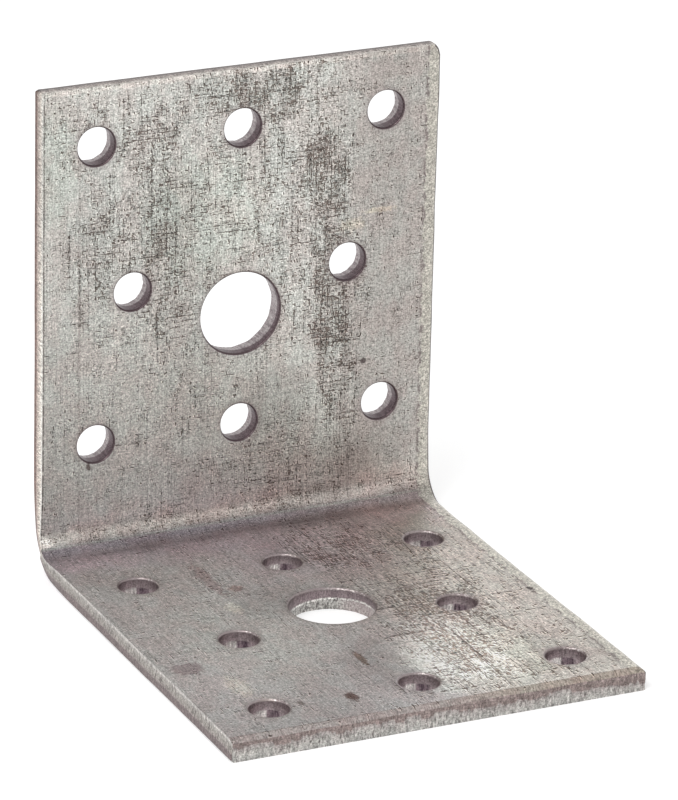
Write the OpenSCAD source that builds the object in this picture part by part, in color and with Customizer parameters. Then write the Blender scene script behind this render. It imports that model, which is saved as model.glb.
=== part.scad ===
// Perforated corner brace bracket.
// One piece of galvanised sheet steel: punched flat from its inner side, cut to length, then folded square.
// The wall leg stands at +Y, the base leg lies on the floor and points to -Y, and X runs across the width.
// Origin: the middle of the footprint, on the underside of the base leg. Sizes are in millimetres.

/* [Sheet] */
// Thickness of the steel sheet
sheet_t = 3; // [2:0.25:4]
// Width of both legs
leg_w = 55; // [50:0.5:80]
// Metal beyond the last row of nail holes on the wall leg
wall_margin = 8; // [5:0.5:30]
// Metal beyond the last row of nail holes on the base leg
base_margin = 7; // [5:0.5:30]

/* [Fold] */
// Inside radius of the fold
fold_r = 3; // [1.5:0.25:5]

/* [Nail holes] */
// Diameter of each nail hole
nail_d = 5; // [4:0.1:6]
// Distance of the first row of nail holes from the outside of the fold
first_row = 17; // [14:0.5:19]
// Distance from one row of nail holes to the next
row_pitch = 20; // [17:0.5:30]
// Distance between neighbours in a row of three
nail_spacing = 20; // [17:0.5:22]
// Distance between the two holes of the middle row
pair_spacing = 30; // [26:0.5:38]

/* [Bolt hole] */
// Diameter of the bolt hole in each leg
bolt_d = 11; // [9:0.5:13]
// Distance of the bolt hole from the outside of the fold
bolt_at = 32; // [30:0.5:38]

/* [Punched edges] */
// Width and depth of the rolled lip that the punch leaves round a hole
lip = 0.3; // [0.1:0.05:0.5]
// Depth of the smooth wall that the punch cuts below the lip
smooth_h = 1.4; // [0.5:0.1:1.4]
// Growth of a hole's radius at the outer face, where the metal tore away
tear = 0.15; // [0.05:0.05:0.4]

/* [Cut edges] */
// Width of the roll along the right side of the inner face
side_roll_w = 1.3; // [0.4:0.1:2]
// Depth of that roll
side_roll_h = 0.7; // [0.2:0.1:1]
// Width of the roll along the left side of the outer face
back_roll_w = 0.5; // [0.2:0.1:1.5]
// Depth of that roll
back_roll_h = 0.3; // [0.1:0.1:0.8]
// Width of the roll along each free end: on the base leg's inner face and on the wall leg's outer face
end_roll_w = 0.9; // [0.4:0.1:1.5]
// Depth of that roll
end_roll_h = 0.5; // [0.2:0.1:0.8]
// Radius of the wall leg's right corner, which is knocked round
worn_corner_r = 1.3; // [0.5:0.1:4]
// Radius of the other corners
corner_r = 0.4; // [0.2:0.1:4]

/* [Hidden] */
$fn = 96;
fold_outer_r = fold_r + sheet_t;
// Height of the wall leg and depth of the base leg, both over the outside of the fold
last_row = first_row + 2 * row_pitch;
wall_h = last_row + wall_margin;
base_d = last_row + base_margin;
torn_h = sheet_t - lip - smooth_h;
spare = 1;
// Nail holes as [across, from the outside of the fold]: a row of three, a pair, a row of three
nail_places = concat(
    [for (i = [-1:1]) [i * nail_spacing, first_row]],
    [for (s = [-0.5, 0.5]) [s * pair_spacing, first_row + row_pitch]],
    [for (i = [-1:1]) [i * nail_spacing, last_row]]
);

// Radius of the arc that leaves a face tangentially and has sunk h after w
function roll_radius(w, h) = (w * w + h * h) / (2 * h);

// What a roll takes off a square corner at the origin, with the metal at -x and -y
module roll_corner(w, h) {
    difference() {
        translate([-w, -h]) square([w + spare, h + spare]);
        translate([-w, -roll_radius(w, h)]) circle(roll_radius(w, h));
    }
}

// The sheet across its width, with y from the outer face to the inner one
module sheet_section() {
    difference() {
        translate([-leg_w / 2, 0]) square([leg_w, sheet_t]);
        translate([leg_w / 2, sheet_t]) roll_corner(side_roll_w, side_roll_h);
        translate([-leg_w / 2, 0]) rotate(180) roll_corner(back_roll_w, back_roll_h);
    }
}

// A leg's own frame: x across, y away from the outside of the fold, z from the outer face to the inner one
module on_wall() {
    translate([0, base_d / 2, 0]) rotate([90, 0, 0]) children();
}

module on_base() {
    translate([0, base_d / 2, 0]) mirror([0, 1, 0]) children();
}

// The flat stretch of a leg, from the end of the fold to the free end
module flat_stretch(length) {
    translate([0, length, 0]) rotate([90, 0, 0])
        linear_extrude(length - fold_outer_r) sheet_section();
}

// The quarter turn that joins the legs: the sheet's section carried round the fold's axis
module fold() {
    translate([0, base_d / 2 - fold_outer_r, fold_outer_r]) rotate([90, 0, 90]) rotate([0, 0, -90])
        rotate_extrude(angle = 90) translate([fold_outer_r, 0]) rotate(90) sheet_section();
}

// A hole punched from the inner face: rolled lip, smooth wall, then the torn and wider way out
module punched_hole(d) {
    rotate_extrude() {
        translate([0, -spare]) square([d / 2, sheet_t + 2 * spare]);
        translate([d / 2, sheet_t]) mirror([1, 0]) roll_corner(lip, lip);
        polygon([[0, -spare], [d / 2 + tear, -spare], [d / 2 + tear, 0], [d / 2, torn_h], [0, torn_h]]);
    }
}

// What rounds a right corner at the free end of a leg, in plan
module corner_cut(length, r) {
    translate([leg_w / 2 - r, length - r, -spare]) linear_extrude(sheet_t + 2 * spare)
        difference() {
            square(r + spare);
            circle(r);
        }
}

// What the roll along a free end takes off a corner that lies on the X axis, with the metal at -y and -z
module end_roll() {
    translate([-leg_w, 0, 0]) rotate([90, 0, 90])
        linear_extrude(2 * leg_w) roll_corner(end_roll_w, end_roll_h);
}

// The holes and the plan corners that are cut from one leg, in the leg's own frame
module leg_cuts(length, right_r) {
    for (p = nail_places) translate(p) punched_hole(nail_d);
    translate([0, bolt_at, 0]) punched_hole(bolt_d);
    corner_cut(length, right_r);
    mirror([1, 0, 0]) corner_cut(length, corner_r);
}

module corner_bracket() {
    color([0.62, 0.61, 0.6]) difference() {
        union() {
            on_wall() flat_stretch(wall_h);
            fold();
            on_base() flat_stretch(base_d);
        }
        on_wall() leg_cuts(wall_h, worn_corner_r);
        on_wall() translate([0, wall_h, 0]) mirror([0, 0, 1]) end_roll();
        on_base() leg_cuts(base_d, corner_r);
        on_base() translate([0, base_d, sheet_t]) end_roll();
    }
}

corner_bracket();
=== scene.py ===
import bmesh
import bpy
import numpy as np
from mathutils import Matrix, Vector


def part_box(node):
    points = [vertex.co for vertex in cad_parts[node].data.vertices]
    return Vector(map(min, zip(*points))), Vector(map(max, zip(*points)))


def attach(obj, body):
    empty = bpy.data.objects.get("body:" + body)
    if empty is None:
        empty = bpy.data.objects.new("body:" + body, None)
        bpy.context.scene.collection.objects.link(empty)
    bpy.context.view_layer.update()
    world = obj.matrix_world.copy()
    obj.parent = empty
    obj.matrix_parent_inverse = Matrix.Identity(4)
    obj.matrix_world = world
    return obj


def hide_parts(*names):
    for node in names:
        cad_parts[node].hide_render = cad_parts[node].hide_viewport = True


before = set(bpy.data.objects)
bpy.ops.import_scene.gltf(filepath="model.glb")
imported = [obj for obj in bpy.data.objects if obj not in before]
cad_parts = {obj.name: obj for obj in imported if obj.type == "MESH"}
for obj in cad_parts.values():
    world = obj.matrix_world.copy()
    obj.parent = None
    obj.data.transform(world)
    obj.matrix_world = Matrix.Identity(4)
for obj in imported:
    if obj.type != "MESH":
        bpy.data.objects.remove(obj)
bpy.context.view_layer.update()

# The folded sheet.
# One piece of galvanised steel, punched from its inner side, cut to length, then folded square in a press.
# It is worked out flat, in millimetres across, along and through the sheet, and the last step folds it.
MM = 0.001
low, high = (np.array(corner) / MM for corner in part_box("corner_bracket"))
half_leg = (high[0] - low[0]) / 2
wall_h = high[2]
base_d = high[1] - low[1]
sheet_t = 3.0
fold_r = 3.0
fold_outer = fold_r + sheet_t
# Half the length along the sheet that the fold takes up, and the flat length of each leg past it
fold_half = (fold_r + sheet_t / 2) * np.pi / 4
wall_flat = wall_h - fold_outer
base_flat = base_d - fold_outer

# Holes in each leg, measured from the outside of the fold: three nails, two nails, three nails, and one bolt
nail_r = 2.5
bolt_r = 5.5
first_row = 17.0
row_pitch = 20.0
nail_spacing = 20.0
pair_spacing = 30.0
bolt_at = 32.0
nails = [(i * nail_spacing, first_row + row * row_pitch) for row in (0, 2) for i in (-1, 0, 1)]
nails += [(hand * pair_spacing / 2, first_row + row_pitch) for hand in (-1, 1)]

# What punching leaves: a rolled lip, a smooth wall, and a torn way out whose radius grows by the tear
lip = 0.3
lip_w = 0.3
smooth_h = 1.4
tear = 0.15

# What the shears leave: a roll on the side that the blade came from, as (width, depth), and on the other side
# a torn part that stands back, over this share of the thickness. The cuts are a little out of square with the
# holes, which moves only the zone beside each edge
side_roll = (1.3, 0.7)
end_roll = (0.9, 0.5)
back_roll = (0.5, 0.3)
torn_share = 0.55
torn_back = 0.09
corner_r = 0.4
cut_zone = 4.5

# The wall's right corner took a knock: its radius at the inner and the outer face, and how deep and how far
# from the corner the inner face sank. The wall's whole end leans back towards the outer face
worn_corner_r = (1.3, 0.9)
knock_depth = 0.9
knock_reach = 1.8
end_lean = 0.25
end_lean_reach = 2.0

# The lattice: its step round the holes, half the side of the square that each hole's own rings fill, how much
# of the wall's end has close lines, and the number of steps round the fold
step = 0.625
nail_square = 8 * step
bolt_square = 14 * step
holes = [(x, d, nail_r, nail_square) for x, d in nails] + [(0.0, bolt_at, bolt_r, bolt_square)]
wall_end_zone = 1.0
fold_steps = 18


def lattice(*stretches):
    """Lattice lines in one direction: each stretch (start, end, count) in equal steps, shared ends once."""
    lines = [np.linspace(start, end, count + 1) for start, end, count in stretches]
    return np.unique(np.round(np.concatenate(lines), 6))


def leg_lines(flat_length, end_zone):
    """Lines along one leg, from the fold to the free end: even round the holes, close in the end's zone."""
    near, far = first_row - nail_square, first_row + 2 * row_pitch + nail_square
    rows = round((far - near) / step)
    stretches = [
        (0, near - fold_outer, 9),
        (near - fold_outer, far - fold_outer, rows),
        (far - fold_outer, flat_length - end_zone, 3),
        (flat_length - end_zone, flat_length, 8),
    ]
    return fold_half + lattice(*stretches)


even = nail_spacing + nail_square
across = lattice(
    (-half_leg, -half_leg + back_roll[0], 4),
    (-half_leg + back_roll[0], -even, 3),
    (-even, even, round(2 * even / step)),
    (even, half_leg - side_roll[0], 2),
    (half_leg - side_roll[0], half_leg, 8),
)
along = np.concatenate([
    -leg_lines(base_flat, end_roll[0])[::-1],
    np.linspace(-fold_half, fold_half, fold_steps + 1)[1:-1],
    leg_lines(wall_flat, wall_end_zone),
])
through = sheet_t * np.array([0, 0.04, 0.12, 0.22, 0.32, 0.42, 0.5, 0.6, 0.72, 0.84, 0.94, 1])

corners, quads, finishes = [], [], []
ZINC, SHEARED, PUNCHED = range(3)


def lay(points, finish, kept=True):
    """Joins a grid of points into quads, neighbour to neighbour both ways, and leaves out those that aren't
    kept."""
    rows, columns = points.shape[:2]
    ids = np.arange(rows * columns).reshape(rows, columns) + sum(len(c) for c in corners)
    faces = np.stack([ids[:-1, :-1], ids[1:, :-1], ids[1:, 1:], ids[:-1, 1:]], -1)
    faces = faces[np.broadcast_to(kept, faces.shape[:2])]
    corners.append(points.reshape(-1, 3))
    quads.append(faces)
    finishes.append(np.full(len(faces), finish))


def grid(x, v, w):
    """Points on one side of the flat sheet: two of x, v, w are rows of lattice lines, and one is a level."""
    return np.stack(np.broadcast_arrays(x, v, w), -1).astype(float)


def along_at(leg, d):
    """Where a distance from the outside of the fold lies along the flat sheet: on the wall it is half the
    fold plus what is past the fold, and on the base the same with a minus sign."""
    return leg * (fold_half + d - fold_outer)


WALL, BASE = 1, -1
centres = [(x, along_at(leg, d), radius, square) for x, d, radius, square in holes for leg in (BASE, WALL)]
middle_x = (across[:-1] + across[1:]) / 2
middle_v = (along[:-1] + along[1:]) / 2
whole = np.ones((len(middle_x), len(middle_v)), bool)
for x, v, radius, square in centres:
    whole &= ~((np.abs(middle_x - x) < square)[:, None] & (np.abs(middle_v - v) < square)[None])
for face in (0, sheet_t):
    lay(grid(across[:, None], along[None], face), ZINC, whole)
for edge in (-half_leg, half_leg):
    lay(grid(edge, along[:, None], through[None]), SHEARED)
for end in (along[0], along[-1]):
    lay(grid(across[:, None], end, through[None]), SHEARED)


def ripple(a, b, wavelength, seed):
    """Smooth unevenness from about -1 to 1: a third of the sum of nine sine waves, each with its own heading,
    length and phase."""
    draw = np.random.default_rng(seed)
    heading, phase = draw.uniform(0, 2 * np.pi, (2, 9, 1))
    length = wavelength * draw.uniform(0.6, 1.6, (9, 1))
    run = np.ravel(a) * np.cos(heading) + np.ravel(b) * np.sin(heading)
    waves = np.sin(run * 2 * np.pi / length + phase).sum(0) / 3
    return waves.reshape(np.shape(a))


def punched_hole(x, v, radius, square, seed):
    """One hole's profile carried round it: from its square on the inner face in to the lip, down the wall and
    out to the square on the outer face. A point is centre + (1 - out) * r * (cos, sin) + out * (its place on
    the square), and each ring has its own r, level and out."""
    count = round(2 * square / step)
    u = np.linspace(-1, 1, count + 1)[:-1]
    one = np.ones(count)
    border = np.concatenate([[one, u], [-u, one], [-one, -u], [u, -one]], 1)
    turn = np.concatenate([u + 2 * quarter for quarter in range(4)]) * np.pi / 4
    # Unevenness round the hole, read on a circle so that it closes
    ring_x, ring_y = 3 * np.cos(turn), 3 * np.sin(turn)
    uneven = ripple(ring_x, ring_y, 4.0, seed)
    ragged = ripple(ring_x, ring_y, 1.1, seed + 50)
    torn_h = (sheet_t - lip - smooth_h) * (1 + 0.28 * uneven + 0.1 * ragged)
    zero = 0 * turn
    rings = []
    for out in (1, 0.64, 0.38, 0.2, 0.08):
        rings.append((radius + lip_w + zero, sheet_t + zero, out))
    for bend in np.radians([0, 22.5, 45, 67.5, 90]):
        sunk = lip * (1 - np.cos(bend))
        rings.append((radius + lip_w * (1 - np.sin(bend)) + zero, sheet_t - sunk + zero, 0))
    wall_top = len(rings) - 1
    for share in (0.4, 0.8, 1):
        rings.append((radius + zero, (sheet_t - lip) * (1 - share) + torn_h * share, 0))
    for share in np.linspace(1, 0, 6)[1:]:
        grown = tear * (1 - share) ** 0.6 * (1 + 0.35 * ragged * np.sin(np.pi * share))
        rings.append((radius + grown + 0.03 * ragged * (1 - share), torn_h * share, 0))
    wall_foot = len(rings) - 1
    for out in (0.12, 0.38, 0.68, 1):
        rings.append((rings[-1][0], zero, out))
    r, level = (np.array([ring[part] for ring in rings]) for part in (0, 1))
    out = np.array([ring[2] for ring in rings])[:, None]
    point_x = x + (1 - out) * r * np.cos(turn) + out * square * border[0]
    point_v = v + (1 - out) * r * np.sin(turn) + out * square * border[1]
    points = np.stack([point_x, point_v, level], -1)
    points = np.concatenate([points, points[:, :1]], 1)
    lay(points[: wall_top + 1], ZINC)
    lay(points[wall_top : wall_foot + 1], PUNCHED)
    lay(points[wall_foot:], ZINC)


for number, (x, v, radius, square) in enumerate(centres):
    punched_hole(x, v, radius, square, number)

# Weld: points that share a place on the flat sheet become one
points = np.concatenate(corners)
_, first, same = np.unique(np.round(points, 4), axis=0, return_index=True, return_inverse=True)
flat = points[first]
faces = same.reshape(-1)[np.concatenate(quads)]
finish = np.concatenate(finishes)


def roll(inward, size):
    """How far a face has sunk at a distance inward from a cut edge: an arc that leaves the face tangentially,
    of radius (width squared + depth squared) / (2 * depth)."""
    width, depth = size
    radius = (width**2 + depth**2) / (2 * depth)
    reach = np.clip(width - inward, 0, width)
    return radius - np.sqrt(radius**2 - reach**2)


def ease(value):
    """Smooth step from 0 to 1: 3 times the square less twice the cube."""
    t = np.clip(value, 0, 1)
    return t * t * (3 - 2 * t)


def round_corner(from_side, from_end, radius):
    """How far a point near a square corner moves in from the side and from the end, to press the corner into
    a quarter circle along lines from the circle's middle."""
    a = np.clip(1 - from_side / radius, 0, 1)
    b = np.clip(1 - from_end / radius, 0, 1)
    shrink = np.maximum(a, b) / np.maximum(np.hypot(a, b), 1e-9)
    both = (a > 0) & (b > 0)
    side_gain = np.where(both, a * (1 - shrink) * radius, 0)
    end_gain = np.where(both, b * (1 - shrink) * radius, 0)
    return side_gain, end_gain


def pressed(flat):
    """The flat sheet with all that the tools did to it short of folding: each point moves by the sum of the
    rolls, the torn edges, the round corners and the lean of the cuts, by its distance from each edge."""
    x, v, w = flat.T
    wall = v > 0
    past_fold = np.abs(v) - fold_half
    from_end = np.where(wall, wall_flat, base_flat) - past_fold
    from_right = half_leg - x
    from_left = half_leg + x
    depth = 1 - w / sheet_t
    # Rolls thin the sheet towards its edges, unevenly along them
    uneven = 1 + 0.08 * ripple(x, v, 9.0, 101)
    end_sunk = roll(from_end, end_roll)
    sunk = np.hypot(roll(from_right, side_roll), np.where(wall, 0, end_sunk)) * uneven
    risen = np.hypot(roll(from_left, back_roll), np.where(wall, end_sunk, 0)) * uneven
    knock = knock_depth * ease(1 - from_right / knock_reach) * ease(1 - from_end / knock_reach)
    sunk = sunk + np.where(wall, knock, 0)
    w = risen + (w / sheet_t) * (sheet_t - sunk - risen)
    # The torn part of a cut edge: towards the outer face on the right and the front, the inner one elsewhere
    tear_outside = torn_back * np.sin(np.pi * np.clip(1 - (1 - depth) / torn_share, 0, 1))
    tear_inside = torn_back * np.sin(np.pi * np.clip(1 - depth / torn_share, 0, 1))
    rough = 1 + 0.5 * ripple(x + 40 * w, v, 1.6, 102)
    right_in = np.where(from_right < 1e-6, tear_outside * rough, 0)
    left_in = np.where(from_left < 1e-6, tear_inside * rough, 0)
    end_in = np.where(from_end < 1e-6, np.where(wall, tear_inside, tear_outside) * rough, 0)
    end_in = end_in + np.where(wall, end_lean * depth * ease(1 - from_end / end_lean_reach), 0)
    # Corners
    right_r = np.where(wall, np.interp(depth, (0, 1), worn_corner_r), corner_r)
    right_gain, end_gain_r = round_corner(from_right, from_end, right_r)
    left_gain, end_gain_l = round_corner(from_left, from_end, corner_r)
    # The cuts lean, more towards the free end
    reach = np.clip(past_fold / wall_flat, 0, 1)
    near_right, near_left, near_end = (ease(1 - gap / cut_zone) for gap in (from_right, from_left, from_end))
    lean_right = np.where(wall, 0.1 + 0.25 * reach, 0.1 + 0.05 * reach)
    lean_left = np.where(wall, 0.1 + 0.22 * reach, -0.1 - 0.34 * reach)
    skew = np.where(wall, 0.15, 0.115 - 0.185 * x / half_leg)
    # Folding squeezes the metal out sideways on the inside of the fold and draws it in on the outside
    squeeze = np.exp(-((v / (1.5 * fold_half)) ** 2)) * (0.34 * (0.5 - depth) * 2 - 0.03)
    near_side = np.exp(-from_left / 2.2) - np.exp(-from_right / 2.2)
    x = x - right_in - right_gain + left_in + left_gain
    x = x + lean_right * near_right + lean_left * near_left - squeeze * near_side
    shorter = end_in + end_gain_r + end_gain_l + skew * near_end
    v = v - np.sign(v) * shorter
    # The sheet is not dead flat
    w = w + 0.025 * ripple(x, v, 30.0, 103)
    return np.stack([x, v, w], 1)


def folded(pressed_sheet):
    """Carries the pressed sheet round the fold. Within it the angle from the wall leg is a quarter turn times
    the share of the fold still to go, and the radius is the outer one less the place through the sheet.
    Beyond it each leg is straight."""
    x, v, w = pressed_sheet.T
    within = np.clip(v, -fold_half, fold_half)
    angle = (1 - within / fold_half) * np.pi / 4
    beyond = v - within
    y = high[1] - fold_outer + (fold_outer - w) * np.cos(angle) + np.minimum(beyond, 0)
    z = fold_outer - (fold_outer - w) * np.sin(angle) + np.maximum(beyond, 0)
    return np.stack([x, y, z], 1)


placed = folded(pressed(flat)) * MM
sheet_mesh = bpy.data.meshes.new("corner_bracket_sheet")
sheet_mesh.from_pydata(placed.tolist(), [], faces.tolist())
sheet_mesh.polygons.foreach_set("material_index", finish.astype(np.int32))
shell = bmesh.new()
shell.from_mesh(sheet_mesh)
bmesh.ops.recalc_face_normals(shell, faces=shell.faces)
shell.to_mesh(sheet_mesh)
shell.free()
sheet_mesh.shade_smooth()
sheet_mesh.set_sharp_from_angle(angle=np.radians(38))
sheet = bpy.data.objects.new("corner_bracket_sheet", sheet_mesh)
bpy.context.scene.collection.objects.link(sheet)


def put_on_corners(name, values):
    """Stores three numbers for each corner of the sheet's mesh, for the materials to read."""
    layer = sheet_mesh.attributes.new(name, "FLOAT_VECTOR", "POINT")
    layer.data.foreach_set("vector", np.stack(values, 1).astype(np.float32).ravel())


# Patches: scuffs from handling, painted light and shade mixed with brightness that differs at random, and the
# tint that goes with the painted shade. Each is (leg, across, from the outside of the fold, half width, half
# length, amount). The outer face has marks of its own: the same patches in other places, and a little duller.
from_fold = np.abs(flat[:, 1]) - fold_half + fold_outer
leg = np.sign(flat[:, 1])
outer = flat[:, 2] < 0.5 * sheet_t
seen_x = np.where(outer, 4.0 - 0.8 * flat[:, 0], flat[:, 0])
drift_x = seen_x + 0.9 * ripple(flat[:, 0], flat[:, 1], 5.0, 201)
drift_d = from_fold + 0.9 * ripple(flat[:, 0], flat[:, 1], 5.0, 202)


def marked(marks):
    """Adds up soft patches on their own leg: each is its amount times the exponential of minus half the
    fourth power of the distance, which is counted in its half widths and half lengths."""
    leg_of, x, d, half_w, half_l, amount = np.array(marks)[:, :, None].transpose(1, 0, 2)
    away = ((drift_x - x) / half_w) ** 2 + ((drift_d - d) / half_l) ** 2
    return (amount * np.exp(-(away**2) / 2) * (leg == leg_of)).sum(0)


scoured = marked([
    (WALL, 12.0, 49, 2.7, 7.0, 0.95),
    (WALL, 13.5, 33, 3.0, 7.0, 1.0),
    (WALL, 14.2, 22, 3.0, 6.0, 0.72),
    (WALL, 4.0, 61.5, 11.0, 3.5, 0.65),
    (WALL, -2.0, 44, 15.0, 21.0, 0.45),
    (WALL, 3.0, 52, 7.0, 10.0, 0.2),
    (WALL, -20.0, 44, 6.0, 20.0, 0.15),
    (WALL, -11.0, 40, 3.0, 12.0, 0.5),
    (WALL, -19.5, 42, 3.0, 7.0, 0.5),
    (WALL, -12.0, 57, 3.0, 4.5, 0.5),
    (WALL, -22.0, 59, 6.0, 5.0, 0.4),
    (WALL, 8.0, 11, 9.0, 6.0, 0.55),
    (WALL, -11.0, 13, 4.0, 9.0, 0.25),
    (WALL, 6.0, 36, 5.0, 9.0, 0.2),
    (WALL, -20.0, 16, 4.0, 8.0, 0.15),
    (WALL, 22.0, 30, 5.0, 30.0, 0.08),
    (BASE, 8.0, 14, 6.0, 7.0, 0.65),
    (BASE, 12.0, 26, 8.0, 12.0, 0.55),
    (BASE, 10.0, 43, 6.0, 8.0, 0.65),
    (BASE, 11.0, 35, 5.0, 5.0, 0.45),
    (BASE, 12.0, 46, 9.0, 10.0, 0.35),
    (BASE, 8.0, 53, 5.0, 7.0, 0.6),
    (BASE, 10.0, 60, 12.0, 3.0, 0.5),
    (BASE, -10.0, 20, 3.0, 8.0, 0.3),
    (BASE, 21.0, 34, 5.0, 22.0, 0.35),
    (BASE, -15.0, 35, 12.0, 30.0, 0.1),
    (WALL, 0.0, 4.2, 90.0, 1.8, 0.42),
])
# Painted light and shade, with some brightness that differs at random: a painted glint at the fold's left
# end, a painted bright reflection at the base's front right, and painted shade down the wall's right side
tone_and_painted_light = 1 + marked([
    (WALL, 21.5, 38, 6.5, 55.0, -0.3),
    (WALL, -26.8, 4.2, 1.4, 1.3, 1.3),
    (WALL, -26.0, 38, 2.5, 30.0, -0.06),
    (WALL, -7.0, 34, 3.5, 16.0, -0.08),
    (WALL, -20.5, 42, 3.0, 12.0, -0.1),
    (WALL, -1.0, 46, 5.0, 6.0, 0.06),
    (WALL, 5.0, 19, 4.0, 5.0, -0.16),
    (WALL, 6.0, 31, 3.0, 6.0, 0.08),
    (WALL, 21.0, 4, 4.5, 5.0, 0.28),
    (WALL, 12.0, 3.5, 4.0, 2.0, -0.14),
    (WALL, -10.0, 47, 3.0, 5.0, -0.12),
    (WALL, 0.0, 9.5, 90.0, 4.0, -0.07),
    (WALL, 10.0, 8, 12.0, 4.0, -0.06),
    (BASE, 9.0, 14, 4.5, 6.0, 0.12),
    (BASE, 21.0, 14, 4.0, 6.0, -0.14),
    (BASE, 21.0, 5.5, 4.0, 3.5, 0.18),
    (BASE, -22.0, 6.5, 5.0, 2.5, 0.15),
    (BASE, 12.0, 9, 5.0, 4.0, -0.1),
    (BASE, -8.0, 38, 22.0, 18.0, 0.2),
    (BASE, 4.0, 17, 14.0, 5.0, 0.06),
    (BASE, 27.0, 30, 2.5, 50.0, -0.1),
    (BASE, -9.0, 41, 5.0, 6.0, 0.14),
    (BASE, -20.0, 50, 7.0, 8.0, 0.04),
    (BASE, -5.0, 28, 6.0, 4.0, -0.2),
    (BASE, 10.0, 43, 4.5, 8.0, 0.34),
    (BASE, 8.0, 12, 3.0, 4.0, 0.1),
    (BASE, 8.0, 53.0, 5.5, 7.0, 0.95),
    (BASE, 10.0, 45, 3.5, 4.0, 0.34),
    (BASE, 16.0, 59, 4.0, 4.0, 0.08),
    (BASE, 18.5, 56, 3.0, 6.0, -0.12),
    (BASE, 25.5, 59, 2.0, 4.0, -0.15),
    (BASE, -2.0, 51, 3.5, 7.0, -0.26),
])
# Along the fold, by the distance from its middle, a painted highlight towards the wall and painted shade
# towards the base. The outer face has neither, and is duller and more even
fold_light_at = [-6.0, -4.2, -3.0, -1.8, -0.6, 0.2, 1.0, 1.8, 2.6, 4.0]
fold_light_and_shade = [1.0, 0.88, 0.64, 0.53, 0.37, 0.45, 0.70, 0.90, 0.82, 1.0]
uneven_v = flat[:, 1] + 0.3 * ripple(flat[:, 0], flat[:, 1], 6.0, 203)
tone_and_painted_light = np.where(outer, 0.82 * tone_and_painted_light**0.7, tone_and_painted_light * np.interp(uneven_v, fold_light_at, fold_light_and_shade))
# Tint that goes with the painted shade: on the wall's right side, low on the wall, over the fold and on the
# base below the fold, less in the base's painted bright patch, with a faint share over the whole base
tint_and_painted_shade = marked([
    (WALL, 22.0, 35, 7.0, 60.0, 0.4),
    (WALL, 8.0, 6, 18.0, 6.0, 0.35),
    (WALL, 0.0, 4.0, 90.0, 2.2, 0.65),
    (BASE, 0.0, 4, 90.0, 6.0, 0.8),
    (BASE, 6.0, 14, 10.0, 9.0, 0.6),
    (BASE, 0.0, 30, 90.0, 60.0, 0.3),
    (BASE, 9.0, 54, 7.0, 8.0, -0.55),
    (BASE, -14.0, 38, 7.0, 12.0, -0.2),
])
# The nearest hole within 9 mm: how far its rim is, and in which direction from its middle the point lies
rim = np.full(len(flat), 9.0)
heading_x, heading_v = np.zeros((2, len(flat)))
for x, v, radius, square in centres:
    dx, dv = flat[:, 0] - x, flat[:, 1] - v
    away = np.hypot(dx, dv)
    nearest = away - radius < rim
    rim = np.where(nearest, away - radius, rim)
    heading_x = np.where(nearest, dx / np.maximum(away, 1e-6), heading_x)
    heading_v = np.where(nearest, dv / np.maximum(away, 1e-6), heading_v)
in_bolt_hole = np.hypot(flat[:, 0], from_fold - bolt_at) < bolt_r + 1
from_left = half_leg + flat[:, 0]
from_right = half_leg - flat[:, 0]
from_end = np.where(leg == WALL, wall_flat, base_flat) - np.abs(flat[:, 1]) + fold_half
# The blade came from the outer side on the left and at the wall's end, and from the inner side elsewhere
from_outside = (from_left < 0.001) | ((from_end < 0.001) & (leg == WALL))
entry = np.where(from_outside, flat[:, 2], sheet_t - flat[:, 2])
put_on_corners("flat", flat.T)
put_on_corners("wear_and_light", (scoured, tone_and_painted_light, tint_and_painted_shade))
put_on_corners("gaps", (from_left, from_right, from_end))
put_on_corners("rim", (rim, heading_x, heading_v))
put_on_corners("cut", (entry, in_bolt_hole, from_outside))


def feed(tree, node, feeds):
    """Feeds a node's inputs, by a link where the value is another node's output."""
    for socket, value in feeds.items():
        if isinstance(value, bpy.types.NodeSocket):
            tree.links.new(value, node.inputs[socket])
        else:
            node.inputs[socket].default_value = value


def add(tree, kind, feeds=None, **settings):
    """Adds one shader node with its settings, and feeds its inputs."""
    node = tree.nodes.new("ShaderNode" + kind)
    for name, value in settings.items():
        setattr(node, name, value)
    feed(tree, node, feeds or {})
    return node


def sums(tree, operation, a, b=0.0, c=0.0):
    """One Math node's result."""
    return add(tree, "Math", {0: a, 1: b, 2: c}, operation=operation).outputs[0]


def product(tree, *factors):
    """Numbers multiplied together."""
    result = factors[0]
    for factor in factors[1:]:
        result = sums(tree, "MULTIPLY", result, factor)
    return result


def swing(tree, pattern, reach, middle):
    """Middle plus reach times (pattern less a half), for a pattern that lies about a half."""
    return sums(tree, "MULTIPLY_ADD", sums(tree, "SUBTRACT", pattern, 0.5), reach, middle)


def noise(tree, place, stretch, scale, detail=2.0, roughness=0.5):
    """Noise over the flat sheet, with place first multiplied by stretch along each direction."""
    feeds = {"Vector": times(tree, place, stretch), "Scale": scale, "Detail": detail, "Roughness": roughness}
    return add(tree, "TexNoise", feeds).outputs["Fac"]


def ramp(tree, value, low, high, bottom=0.0, top=1.0):
    """Smooth step of value, from bottom at low to top at high."""
    feeds = {"Value": value, "From Min": low, "From Max": high, "To Min": bottom, "To Max": top}
    return add(tree, "MapRange", feeds, interpolation_type="SMOOTHSTEP").outputs[0]


def by_leg(tree, on_wall, base, wall):
    """A number that is one thing on the base and another on the wall."""
    return ramp(tree, on_wall, 0.0, 1.0, base, wall)


def blend(tree, share, a, b):
    """A share of colour b over colour a."""
    a, b = ((*colour, 1) if isinstance(colour, tuple) else colour for colour in (a, b))
    return add(tree, "Mix", {0: share, 6: a, 7: b}, data_type="RGBA").outputs[2]


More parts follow.
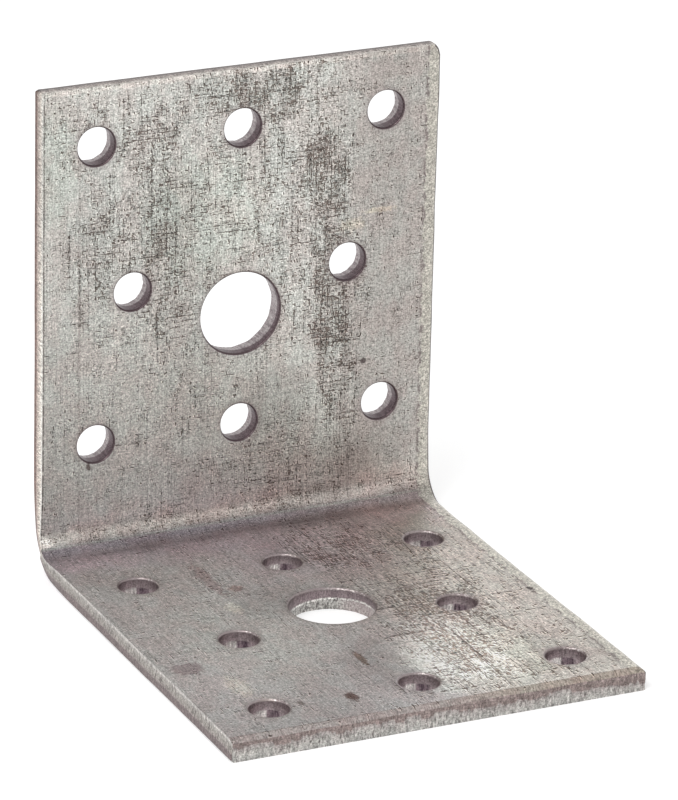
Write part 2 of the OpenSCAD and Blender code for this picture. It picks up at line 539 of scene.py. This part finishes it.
def times(tree, colour, by):
    """A colour or a place multiplied by a number, or by three numbers."""
    if isinstance(by, bpy.types.NodeSocket) and by.type == "VALUE":
        return add(tree, "VectorMath", {0: colour, "Scale": by}, operation="SCALE").outputs[0]
    return add(tree, "VectorMath", {0: colour, 1: by}, operation="MULTIPLY").outputs[0]


def joined(tree, x, y, z):
    """Three numbers as one vector."""
    return add(tree, "CombineXYZ", {0: x, 1: y, 2: z}).outputs[0]


def split(tree, vector):
    """The three numbers in a vector."""
    return add(tree, "SeparateXYZ", {0: vector}).outputs


def attribute(tree, name):
    """Three numbers that were stored for each corner of the mesh."""
    return add(tree, "Attribute", attribute_name=name).outputs["Vector"]


def effect(name, takes, gives):
    """Starts a shader node group with named inputs and outputs."""
    tree = bpy.data.node_groups.new(name, "ShaderNodeTree")
    for in_out, sockets in (("INPUT", takes), ("OUTPUT", gives)):
        for socket, kind in sockets.items():
            tree.interface.new_socket(socket, in_out=in_out, socket_type="NodeSocket" + kind)
    return tree, tree.nodes.new("NodeGroupInput").outputs, tree.nodes.new("NodeGroupOutput").inputs


def placed_effect(tree, group, **feeds):
    """Puts a node group into a material and feeds its inputs."""
    node = tree.nodes.new("ShaderNodeGroup")
    node.node_tree = group
    feed(tree, node, feeds)
    return node.outputs


# Scuffs: fine dark dashes strung in long lines along and across the rolling direction, thickest where the
# amount is high. The weave is the soft cloth-like pattern between them, with its long scratches, and the wash
# is the stain where they crowd
scuffs, takes, gives = effect(
    "crossed_scuffs",
    {"Place": "Vector", "Amount": "Float"},
    {"Mask": "Float", "Weave": "Float", "Wash": "Float"},
)
clump = noise(scuffs, takes["Place"], (1.0, 0.5, 1.0), 0.75, 3.0, 0.75)
amount = swing(scuffs, clump, 2.8, takes["Amount"])
long_across = noise(scuffs, takes["Place"], (0.1, 4.2, 1.3), 1.0, 1.0, 0.6)
long_along = noise(scuffs, takes["Place"], (4.2, 0.09, 1.0), 1.0, 1.0, 0.6)
lengthwise = swing(scuffs, long_along, 0.6, noise(scuffs, takes["Place"], (5.0, 1.5, 1.0), 1.0, 0.0))
crosswise = swing(scuffs, long_across, 0.6, noise(scuffs, takes["Place"], (1.5, 5.0, 1.3), 1.0, 0.0))
limit = sums(scuffs, "MAXIMUM", sums(scuffs, "MULTIPLY_ADD", amount, -0.2, 0.8), 0.565)
strongest = sums(scuffs, "MAXIMUM", lengthwise, crosswise)
dashes = ramp(scuffs, strongest, limit, sums(scuffs, "ADD", limit, 0.03))
scuffs.links.new(dashes, gives["Mask"])
crossed = sums(scuffs, "SUBTRACT", sums(scuffs, "ADD", lengthwise, crosswise), 1.0)
weave_depth = sums(scuffs, "MAXIMUM", sums(scuffs, "MULTIPLY_ADD", amount, 1.2, 0.4), 0.3)
scratch = ramp(scuffs, sums(scuffs, "MAXIMUM", long_across, long_along), 0.6, 0.67)
scratch = product(scuffs, scratch, ramp(scuffs, amount, 0.05, 0.5, 0.1, 0.38))
weave = sums(scuffs, "SUBTRACT", product(scuffs, crossed, weave_depth), scratch)
scuffs.links.new(weave, gives["Weave"])
scuffs.links.new(ramp(scuffs, amount, 0.7, 2.2), gives["Wash"])

# Grain: fine light and dark speckle with a trace of green and pink in it
grain, takes, gives = effect(
    "metal_grain",
    {"Place": "Vector", "Depth": "Float"},
    {"Shade": "Color", "Height": "Float"},
)
greenish, pinkish = (0.985, 1.008, 0.99), (1.015, 0.993, 1.0)
speckle = noise(grain, takes["Place"], (1.0, 1.0, 1.0), 4.9, 1.0, 0.6)
brightness = swing(grain, speckle, takes["Depth"], 1.0)
tint = noise(grain, takes["Place"], (1.0, 1.0, 1.0), 3.6, 2.0, 0.7)
trace = blend(grain, ramp(grain, tint, 0.35, 0.65), greenish, pinkish)
grain.links.new(times(grain, trace, brightness), gives["Shade"])
grain.links.new(speckle, gives["Height"])


def new_material(name, roughness, grain_depth):
    """A metal material for the sheet: its node tree and shader, the place on the flat sheet, 1 for the wall
    or 0 for the base, and the grain. The materials are made in the order of ZINC, SHEARED and PUNCHED."""
    material = bpy.data.materials.new(name)
    material.use_nodes = True
    tree = material.node_tree
    shader = tree.nodes["Principled BSDF"]
    feed(tree, shader, {"Metallic": 1.0, "Roughness": roughness})
    sheet_mesh.materials.append(material)
    place = attribute(tree, "flat")
    on_wall = ramp(tree, split(tree, place)[1], -1.0, 1.0)
    return tree, shader, place, on_wall, placed_effect(tree, grain, Place=place, Depth=grain_depth)


def relief(tree, shader, height, distance, strength=0.6):
    """Bump from a height, in millimetres of depth."""
    feeds = {"Height": height, "Distance": distance * MM, "Strength": strength}
    feed(tree, shader, {"Normal": add(tree, "Bump", feeds).outputs["Normal"]})


# Zinc: the coat on both faces, in soft blotches, one a little pink and one a little green
tree, shader, place, on_wall, fine = new_material("zinc_coat", 0.4, 1.75)
scour, painted_light_and_tone, tint_and_shade_amount = split(tree, attribute(tree, "wear_and_light"))
left_gap, right_gap, end_gap = split(tree, attribute(tree, "gaps"))
rim_gap, round_x, round_v = split(tree, attribute(tree, "rim"))
across_sheet, _, from_outer = split(tree, place)
inner = ramp(tree, from_outer, 1.4, 1.6)
zinc_pink, zinc_green = (0.553, 0.522, 0.487), (0.561, 0.564, 0.526)
blotch = noise(tree, place, (1.0, 0.7, 1.0), 0.3, 3.0, 0.55)
clean = blend(tree, ramp(tree, blotch, 0.38, 0.62), zinc_pink, zinc_green)
# The rolling mill left long streaks along the sheet. The scuffs are twice as long and wide apart on the base
streak = noise(tree, place, (4.4, 0.1, 1.0), 1.0, 2.0, 0.6)
hatch_place = times(tree, place, joined(tree, 1.0, by_leg(tree, on_wall, 0.5, 1.0), 1.0))
marks = placed_effect(tree, scuffs, Place=hatch_place, Amount=scour)
woven = sums(tree, "ADD", swing(tree, streak, 0.6, 1.0), marks["Weave"])
# The painted light and shade, with brightness that differs at random, scales the coat
coat = times(tree, clean, product(tree, painted_light_and_tone, woven))
# The tint that goes with the painted shade is brownish on the wall and violet on the base
shade_tint_colour = blend(tree, on_wall, (1.05, 0.925, 1.045), (1.05, 0.945, 0.93))
coat = times(tree, coat, blend(tree, tint_and_shade_amount, (1.0, 1.0, 1.0), shade_tint_colour))
coat = times(tree, times(tree, coat, fine["Shade"]), by_leg(tree, on_wall, 0.99, 1.035))
# The base is bluer on the left and yellower on the right
red_on_base = ramp(tree, across_sheet, -6.0, 21.0, 0.99, 1.03)
blue_on_base = ramp(tree, across_sheet, -6.0, 21.0, 1.045, 0.95)
cast = blend(tree, on_wall, joined(tree, red_on_base, 1.0, blue_on_base), (1.0, 1.0, 1.012))
coat = times(tree, coat, cast)
# Where the scuffs crowd they stain the coat, and a painted highlight runs beside each dash's dark groove
coat = blend(tree, product(tree, marks["Wash"], 0.5), coat, times(tree, coat, (0.72, 0.64, 0.60)))
dash_highlight_place = add(tree, "VectorMath", {0: hatch_place, 1: (0.11, 0.09, 0.0)}, operation="ADD").outputs[0]
dash_highlight = placed_effect(tree, scuffs, Place=dash_highlight_place, Amount=scour)["Mask"]
dash_highlight = product(tree, dash_highlight, by_leg(tree, on_wall, 0.8, 0.4))
coat = blend(tree, dash_highlight, coat, times(tree, coat, (1.5, 1.48, 1.42)))
# Painted glints on the grain where the painted light is low, most in the painted shade along the fold
painted_glints = product(tree, ramp(tree, fine["Height"], 0.6, 0.68), ramp(tree, painted_light_and_tone, 0.8, 0.5, 0.0, 0.6))
coat = blend(tree, painted_glints, coat, (0.46, 0.42, 0.42))
groove = times(tree, coat, (0.14, 0.115, 0.11))
coat = blend(tree, product(tree, marks["Mask"], 0.92), coat, groove)
# The right side's roll has a painted highlight, with broken dashes of painted shade where it ends and a dark
# line of painted shade by the cut
roll_border = noise(tree, place, (1.0, 0.5, 1.0), 1.4, 3.0, 0.7)
roll_at = swing(tree, roll_border, 2.2, sums(tree, "MULTIPLY_ADD", on_wall, 0.25, right_gap))
rolled = product(tree, ramp(tree, roll_at, 2.15, 1.85), inner)
flecks = noise(tree, place, (1.0, 1.0, 1.0), 3.2, 2.0, 0.7)
roll_highlight = blend(tree, on_wall, (0.575, 0.55, 0.49), (0.51, 0.485, 0.43))
roll_highlight = times(tree, roll_highlight, ramp(tree, flecks, 0.3, 0.7, 0.6, 1.4))
roll_highlight = times(tree, times(tree, roll_highlight, fine["Shade"]), ramp(tree, painted_light_and_tone, 0.3, 0.95, 0.6, 1.0))
coat = blend(tree, product(tree, rolled, 0.85), coat, roll_highlight)
roll_border_shade = product(tree, ramp(tree, roll_at, 2.55, 2.35), ramp(tree, roll_at, 2.05, 2.2))
roll_border_shade = product(tree, roll_border_shade, ramp(tree, roll_border, 0.46, 0.54), inner, 0.75)
coat = blend(tree, roll_border_shade, coat, (0.16, 0.13, 0.125))
edge_shade_line = product(tree, ramp(tree, right_gap, 0.36, 0.24, 0.0, 0.88), inner)
coat = blend(tree, edge_shade_line, coat, (0.07, 0.052, 0.05))
# The wall's end has a painted highlight, and the base's front roll a painted dark, brownish reflection
end_highlight = product(tree, ramp(tree, end_gap, 0.8, 0.5), on_wall)
coat = blend(tree, end_highlight, coat, times(tree, coat, (1.17, 1.13, 1.12)))
inner_on_base = sums(tree, "SUBTRACT", inner, product(tree, on_wall, inner))
front_roll_shade = product(tree, ramp(tree, end_gap, 1.0, 0.8), inner_on_base)
coat = blend(tree, front_roll_shade, coat, times(tree, coat, (0.66, 0.61, 0.58)))
# A broken dark line of painted shade runs beside the wall's left edge
dotted = noise(tree, place, (1.0, 1.0, 1.0), 1.3, 3.0, 0.7)
left_edge_shade = product(tree, ramp(tree, left_gap, 0.27, 0.19), ramp(tree, left_gap, 0.02, 0.1))
left_edge_shade = product(tree, left_edge_shade, on_wall, ramp(tree, dotted, 0.36, 0.52), 0.8)
coat = blend(tree, left_edge_shade, coat, (0.10, 0.085, 0.08))
# A darker ring runs round each hole. Its rolled lip has painted shade, on the wall most at the lower right.
# On the base the lip's painted shade is paler, with painted glints on its right
coat = blend(tree, ramp(tree, rim_gap, 1.2, 0.1, 0.0, 0.35), coat, (0.25, 0.205, 0.205))
on_lip = ramp(tree, from_outer, sheet_t - 0.006, sheet_t - 0.03)
on_lip = product(tree, on_lip, ramp(tree, from_outer, 1.0, 1.1))
lip_shade_strength = ramp(tree, sums(tree, "SUBTRACT", round_x, round_v), -1.1, 0.0, 0.3)
lip_shade_strength = sums(tree, "MAXIMUM", lip_shade_strength, by_leg(tree, on_wall, 0.9, 0.0))
lip_shade_colour = blend(tree, on_wall, (0.27, 0.225, 0.225), (0.10, 0.072, 0.078))
coat = blend(tree, product(tree, on_lip, lip_shade_strength), coat, lip_shade_colour)
rim_glints = product(tree, ramp(tree, flecks, 0.52, 0.6), ramp(tree, round_x, 0.0, 0.7, 0.15, 0.9))
rim_glints = product(tree, rim_glints, ramp(tree, rim_gap, 0.5, 0.2), by_leg(tree, on_wall, 1.0, 0.1))
coat = blend(tree, rim_glints, coat, (0.62, 0.57, 0.55))
# Stains, as (leg, across, from the outside of the fold, half width, half length, tint over the coat)
stains = [
    (BASE, -24.3, 42.8, 1.7, 1.7, (0.66, 0.58, 0.60)),
    (BASE, -9.4, 57.8, 0.75, 1.1, (0.33, 0.24, 0.22)),
    (BASE, -15.9, 57.2, 0.4, 0.6, (0.45, 0.42, 0.40)),
    (BASE, -3.6, 48.1, 0.5, 2.2, (0.52, 0.42, 0.37)),
    (BASE, -11.8, 28.1, 0.9, 1.7, (1.3, 1.3, 1.22)),
    (BASE, -20.9, 50.0, 1.2, 3.0, (1.3, 1.3, 1.22)),
    (BASE, -19.5, 56.0, 1.0, 2.0, (1.15, 1.15, 1.1)),
    (BASE, -11.2, 19.0, 0.8, 5.0, (0.78, 0.68, 0.69)),
    (BASE, -9.0, 22.5, 0.9, 0.8, (0.72, 0.60, 0.58)),
    (BASE, 11.2, 30.3, 2.0, 0.12, (0.3, 0.26, 0.27)),
    (BASE, 10.4, 49.0, 0.11, 8.0, (0.3, 0.26, 0.27)),
    (BASE, 13.4, 45.0, 0.09, 5.0, (0.4, 0.36, 0.37)),
    (BASE, 25.4, 36.6, 0.35, 0.45, (0.25, 0.22, 0.22)),
    (WALL, 17.5, 23.0, 0.35, 0.35, (0.3, 0.27, 0.28)),
    (WALL, -21.0, 14.0, 0.3, 0.5, (0.35, 0.3, 0.3)),
    (WALL, -22.3, 34.0, 0.18, 30.0, (0.82, 0.8, 0.8)),
    (WALL, 15.6, 42.0, 1.6, 0.8, (1.22, 1.18, 1.1)),
    (WALL, 19.5, 43.5, 2.2, 0.35, (1.25, 1.2, 1.1)),
    (WALL, -5.0, 46.0, 8.0, 8.0, (0.975, 1.005, 0.985)),
    (WALL, -26.0, 55.0, 3.0, 8.0, (0.97, 1.0, 0.98)),
]
smear = noise(tree, place, (1.0, 1.0, 1.0), 1.6, 4.0, 0.75)
for leg_of, x, d, half_w, half_l, tint in stains:
    centre = (x, along_at(leg_of, d), sheet_t)
    away = add(tree, "VectorMath", {0: place, 1: centre}, operation="SUBTRACT").outputs[0]
    away = times(tree, away, (1 / half_w, 1 / half_l, 1.0))
    distance = add(tree, "VectorMath", {0: away}, operation="LENGTH").outputs["Value"]
    in_stain = ramp(tree, swing(tree, smear, 2.4, distance), 1.35, 0.7)
    coat = blend(tree, in_stain, coat, times(tree, coat, tint))
roughness = sums(tree, "MULTIPLY_ADD", marks["Mask"], 0.2, 0.38)
feed(tree, shader, {"Base Color": coat, "Roughness": roughness})
relief(tree, shader, sums(tree, "MULTIPLY_ADD", marks["Mask"], -0.7, fine["Height"]), 0.03)

# Sheared edges: a smooth band where the blade went in, dark in its own colour and darker still with painted
# dark reflection, then the torn band with fine upright streaks
tree, shader, place, on_wall, fine = new_material("sheared_edge", 0.45, 1.8)
entry_depth, _, from_outside = split(tree, attribute(tree, "cut"))
_, right_gap, end_gap = split(tree, attribute(tree, "gaps"))
ragged = noise(tree, place, (1.0, 1.0, 0.0), 0.5, 5.0, 0.7)
drips = noise(tree, place, (2.6, 2.6, 0.3), 1.0, 2.0, 0.6)
unevenness = swing(tree, ragged, 1.5, swing(tree, drips, 0.7, 0.0))
# On the front edge the smooth band is wide in some patches, narrow in others, and wide at the right corner
patches = ramp(tree, noise(tree, place, (1.0, 1.0, 0.0), 0.16, 4.0, 0.65), 0.47, 0.53, -0.35, 0.3)
patches = sums(tree, "SUBTRACT", patches, ramp(tree, right_gap, 6.0, 0.5, 0.0, 0.6))


def banded(bands, share, shift=0.0):
    """Colours by the depth in millimetres below the side that the blade came from. Bands are (depth, colour),
    and the depth is moved by a share of the unevenness and by the shift."""
    deep = sums(tree, "MULTIPLY_ADD", unevenness, share, sums(tree, "ADD", entry_depth, shift))
    node = add(tree, "ValToRGB", {"Fac": sums(tree, "DIVIDE", deep, sheet_t)})
    stops = node.color_ramp.elements
    for _ in bands[2:]:
        stops.new(0.5)
    for stop, (depth, colour) in zip(stops, bands):
        stop.position = depth / sheet_t
        stop.color = (*colour, 1)
    return node.outputs["Color"]


# The light stops next to the inner face, at 2.62 on the base's left edge, 2.5 on the wall's left edge and 3.0
# at the wall's end, are painted highlights along the inner corner
front_edge = banded([
    (0.0, (0.27, 0.22, 0.21)),
    (0.15, (0.235, 0.19, 0.18)),
    (0.85, (0.24, 0.195, 0.185)),
    (0.98, (0.33, 0.295, 0.285)),
    (1.5, (0.39, 0.365, 0.35)),
    (2.2, (0.435, 0.42, 0.40)),
    (3.0, (0.40, 0.39, 0.375)),
], 0.7, patches)
base_left_edge = banded([
    (0.0, (0.20, 0.16, 0.16)),
    (1.05, (0.205, 0.165, 0.165)),
    (1.17, (0.315, 0.28, 0.265)),
    (1.9, (0.355, 0.335, 0.31)),
    (2.3, (0.40, 0.375, 0.355)),
    (2.5, (0.43, 0.41, 0.385)),
    (2.62, (0.58, 0.555, 0.53)),
    (3.0, (0.50, 0.48, 0.46)),
], 0.6)
wall_left_edge = banded([
    (0.0, (0.17, 0.105, 0.09)),
    (0.6, (0.155, 0.10, 0.085)),
    (0.95, (0.38, 0.31, 0.28)),
    (1.4, (0.47, 0.415, 0.38)),
    (1.8, (0.57, 0.52, 0.47)),
    (2.5, (0.70, 0.675, 0.63)),
    (3.0, (0.54, 0.52, 0.49)),
], 0.35)
wall_left_edge = times(tree, wall_left_edge, ramp(tree, end_gap, 14.0, 32.0, 1.0, 1.2))
wall_end_edge = banded([
    (0.0, (0.20, 0.16, 0.155)),
    (0.6, (0.12, 0.10, 0.095)),
    (0.9, (0.235, 0.205, 0.195)),
    (1.4, (0.33, 0.29, 0.275)),
    (1.8, (0.44, 0.395, 0.37)),
    (2.1, (0.52, 0.48, 0.445)),
    (3.0, (0.56, 0.525, 0.49)),
], 0.25)
outside_cut = blend(tree, on_wall, base_left_edge, wall_left_edge)
is_wall_end = product(tree, ramp(tree, end_gap, 0.03, 0.01), on_wall)
outside_cut = blend(tree, is_wall_end, outside_cut, wall_end_edge)
colour = blend(tree, ramp(tree, from_outside, 0.4, 0.6), front_edge, outside_cut)
upright = noise(tree, place, (3.6, 3.6, 1.0), 1.0, 2.0, 0.7)
colour = times(tree, colour, ramp(tree, upright, 0.35, 0.65, 0.74, 1.26))
ticks = ramp(tree, noise(tree, place, (3.4, 3.4, 0.7), 1.0, 1.0, 0.6), 0.6, 0.64)
ticks = product(tree, ticks, ramp(tree, entry_depth, 1.1, 1.4), 0.55)
colour = blend(tree, ticks, colour, (0.10, 0.08, 0.08))
feed(tree, shader, {"Base Color": times(tree, colour, fine["Shade"])})
relief(tree, shader, sums(tree, "ADD", upright, fine["Height"]), 0.04)

# Hole walls: bare steel, smooth from the lip and dark, partly with painted shade, then torn and streaked to
# the way out
tree, shader, place, on_wall, fine = new_material("punched_wall", 0.42, 1.8)
_, round_x, round_v = split(tree, attribute(tree, "rim"))
bolt_hole = split(tree, attribute(tree, "cut"))[1]
nail_on_base = sums(tree, "SUBTRACT", sums(tree, "SUBTRACT", 1.0, on_wall), bolt_hole)
nail_on_base = sums(tree, "MAXIMUM", nail_on_base, 0.0)
# The level at which the smooth part ends. It rises to the right, and lies higher in a bolt hole and in the
# base's nail holes
ragged = noise(tree, place, (1.0, 1.0, 0.2), 1.2, 3.0, 0.7)
border = swing(tree, ragged, 0.4, 1.15)
border = sums(tree, "MULTIPLY_ADD", product(tree, round_x, on_wall), 0.3, border)
border = sums(tree, "MULTIPLY_ADD", bolt_hole, sums(tree, "MULTIPLY_ADD", round_x, 0.3, 0.42), border)
border = sums(tree, "MULTIPLY_ADD", nail_on_base, 0.45, border)
above_border = sums(tree, "SUBTRACT", split(tree, place)[2], border)
# The torn part: upright streaks on the wall, and on the base a brushed look under a painted highlight at its
# top
upright = noise(tree, place, (3.0, 3.0, 0.4), 1.0, 3.0, 0.75)
streaks = ramp(tree, upright, 0.36, 0.64)
brushed = noise(tree, place, (4.2, 4.2, 2.0), 1.0, 3.0, 0.75)
torn_on_wall = blend(tree, streaks, (0.23, 0.19, 0.20), (0.41, 0.37, 0.37))
torn_on_base = blend(tree, ramp(tree, brushed, 0.38, 0.62), (0.17, 0.16, 0.155), (0.55, 0.535, 0.51))
torn_on_base = blend(tree, ramp(tree, round_x, 0.45, 0.85, 0.0, 0.6), torn_on_base, (0.42, 0.35, 0.35))
ledge_highlight = product(tree, ramp(tree, above_border, -0.32, -0.2), ramp(tree, brushed, 0.42, 0.5))
torn_on_base = blend(tree, ledge_highlight, torn_on_base, (0.76, 0.74, 0.71))
torn = blend(tree, on_wall, torn_on_base, torn_on_wall)
# The smooth part: its own dark colour deepened by painted shade, most on the base's left side
shaded_smooth_in_nail = blend(tree, streaks, (0.32, 0.26, 0.27), (0.43, 0.36, 0.37))
shaded_smooth_in_bolt = blend(tree, streaks, (0.22, 0.175, 0.185), (0.30, 0.245, 0.255))
shaded_smooth_on_base = blend(tree, bolt_hole, shaded_smooth_in_nail, shaded_smooth_in_bolt)
shaded_smooth_on_base = blend(tree, ramp(tree, round_x, -0.4, -0.95, 0.0, 0.6), shaded_smooth_on_base, (0.16, 0.12, 0.125))
shaded_smooth_on_wall = blend(tree, streaks, (0.095, 0.066, 0.074), (0.15, 0.11, 0.12))
shaded_smooth = blend(tree, on_wall, shaded_smooth_on_base, shaded_smooth_on_wall)
# In the base's nail holes the torn part has painted light on the left and painted shade on the right, and
# else is as the smooth one
across_hole = sums(tree, "MULTIPLY_ADD", round_v, -0.43, product(tree, round_x, 0.9))
painted_light_side = product(tree, ramp(tree, across_hole, -0.78, -0.55), ramp(tree, across_hole, -0.02, -0.2))
painted_shade_side = product(tree, ramp(tree, across_hole, -0.2, -0.06), ramp(tree, across_hole, 0.6, 0.4))
pale = blend(tree, streaks, (0.36, 0.33, 0.32), (0.74, 0.70, 0.68))
deep = blend(tree, streaks, (0.075, 0.052, 0.066), (0.26, 0.20, 0.22))
torn = blend(tree, nail_on_base, torn, shaded_smooth_on_base)
torn = blend(tree, product(tree, painted_light_side, nail_on_base), torn, pale)
torn = blend(tree, product(tree, painted_shade_side, nail_on_base), torn, deep)
colour = blend(tree, ramp(tree, above_border, -0.12, 0.12), torn, shaded_smooth)
feed(tree, shader, {"Base Color": times(tree, colour, fine["Shade"])})
relief(tree, shader, sums(tree, "ADD", upright, fine["Height"]), 0.04)

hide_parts("corner_bracket")
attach(sheet, "root")

# The floor.
# A plain pale surface that keeps the soft shadow. A glow makes it white to the camera and in reflections,
# but the camera misses it in a narrow ring inside the bracket's rim, so that no edge has a light line.

# Half the floor's side, in metres, and how far inside the rim the ring lies, in millimetres
floor_half = 2.0
ring_at = 2.0
floor_mesh = bpy.data.meshes.new("floor")
floor_corners = [(x * floor_half, y * floor_half, 0) for x, y in ((-1, -1), (1, -1), (1, 1), (-1, 1))]
floor_mesh.from_pydata(floor_corners, [], [(0, 1, 2, 3)])
floor = bpy.data.objects.new("floor", floor_mesh)
bpy.context.scene.collection.objects.link(floor)
floor_material = bpy.data.materials.new("pale_floor")
floor_material.use_nodes = True
tree = floor_material.node_tree
tree.nodes.clear()
path = add(tree, "LightPath")
matt = add(tree, "BsdfDiffuse", {"Color": (0.8, 0.8, 0.8, 1)})
spot = add(tree, "TexCoord").outputs["Object"]
from_middle = add(tree, "VectorMath", {0: spot}, operation="ABSOLUTE").outputs[0]
off_x, off_y, _ = split(tree, from_middle)
past_x = sums(tree, "SUBTRACT", off_x, (half_leg - ring_at) * MM)
past_y = sums(tree, "SUBTRACT", off_y, (high[1] - ring_at) * MM)
past_ring = sums(tree, "MAXIMUM", past_x, past_y)
open_floor = ramp(tree, past_ring, -MM, MM)
seen_through_holes = ramp(tree, past_ring, -2 * MM, -3 * MM)
open_floor = sums(tree, "MAXIMUM", open_floor, seen_through_holes)
glow = add(tree, "Emission", {"Color": (1, 1, 1, 1), "Strength": 0.35})
dark = add(tree, "Emission", {"Strength": 0.0})
in_open = product(tree, path.outputs["Is Camera Ray"], open_floor)
sharp_ray = sums(tree, "MAXIMUM", in_open, path.outputs["Is Glossy Ray"])
sharp_ray = sums(tree, "MAXIMUM", sharp_ray, path.outputs["Is Transmission Ray"])
seen = add(tree, "MixShader", {0: sharp_ray, 1: dark.outputs[0], 2: glow.outputs[0]})
lit = add(tree, "AddShader", {0: matt.outputs[0], 1: seen.outputs[0]})
add(tree, "OutputMaterial", {"Surface": lit.outputs[0]})
floor_mesh.materials.append(floor_material)

# The surroundings.
# A white room gives the even light, and is white behind the bracket.
world = bpy.data.worlds.new("white_room")
world.use_nodes = True
tree = world.node_tree
tree.nodes.clear()
path = add(tree, "LightPath")
even_light = add(tree, "Background", {"Color": (1, 1, 1, 1), "Strength": 0.8})
white = add(tree, "Background", {"Color": (1, 1, 1, 1), "Strength": 1.0})
sharp_ray = sums(tree, "MAXIMUM", path.outputs["Is Camera Ray"], path.outputs["Is Glossy Ray"])
sharp_ray = sums(tree, "MAXIMUM", sharp_ray, path.outputs["Is Transmission Ray"])
seen = add(tree, "MixShader", {0: sharp_ray, 1: even_light.outputs[0], 2: white.outputs[0]})
add(tree, "OutputWorld", {"Surface": seen.outputs[0]})
bpy.context.scene.world = world

# The lamps.
# A broad soft lamp up on the left, and nothing else.


def lamp(name, place, target, size, power):
    """A square soft lamp at place, facing target."""
    data = bpy.data.lights.new(name, "AREA")
    data.shape = "SQUARE"
    data.size = size
    data.energy = power
    thing = bpy.data.objects.new(name, data)
    aim = np.array(target) - np.array(place)
    thing.location = place
    thing.rotation_euler = Vector(aim).to_track_quat("-Z", "Y").to_euler()
    bpy.context.scene.collection.objects.link(thing)


lamp("soft_lamp", (-0.35, -0.2, 0.55), (0, 0, 0.03), 0.35, 1.6)

# The camera.
# Where the photograph was taken from: its turn in degrees, its place in millimetres, and a long lens.
azimuth, elevation, tilt = np.radians([-25.5213, 21.4526, 1.205])
place = np.array([-271.898, -602.2584 + base_d / 2, 278.9144]) * MM
focal_px = 5495.465
long_side_px = 800
sensor = 36.0
level_part = np.cos(elevation)
back = np.array([np.sin(azimuth) * level_part, -np.cos(azimuth) * level_part, np.sin(elevation)])
right = np.array([np.cos(azimuth), np.sin(azimuth), 0])
up = np.cross(back, right)
leaned_right = right * np.cos(tilt) + up * np.sin(tilt)
leaned_up = up * np.cos(tilt) - right * np.sin(tilt)
view = bpy.data.cameras.new("camera")
view.sensor_width = sensor
view.lens = focal_px * sensor / long_side_px
view.clip_start = 0.01
view.clip_end = 10
camera = bpy.data.objects.new("camera", view)
axes = np.stack([leaned_right, leaned_up, back], 1)
camera.matrix_world = Matrix([[*axes[row], place[row]] for row in range(3)] + [[0, 0, 0, 1]])
bpy.context.scene.collection.objects.link(camera)
bpy.context.scene.camera = camera
bpy.context.scene.view_settings.view_transform = "Standard"
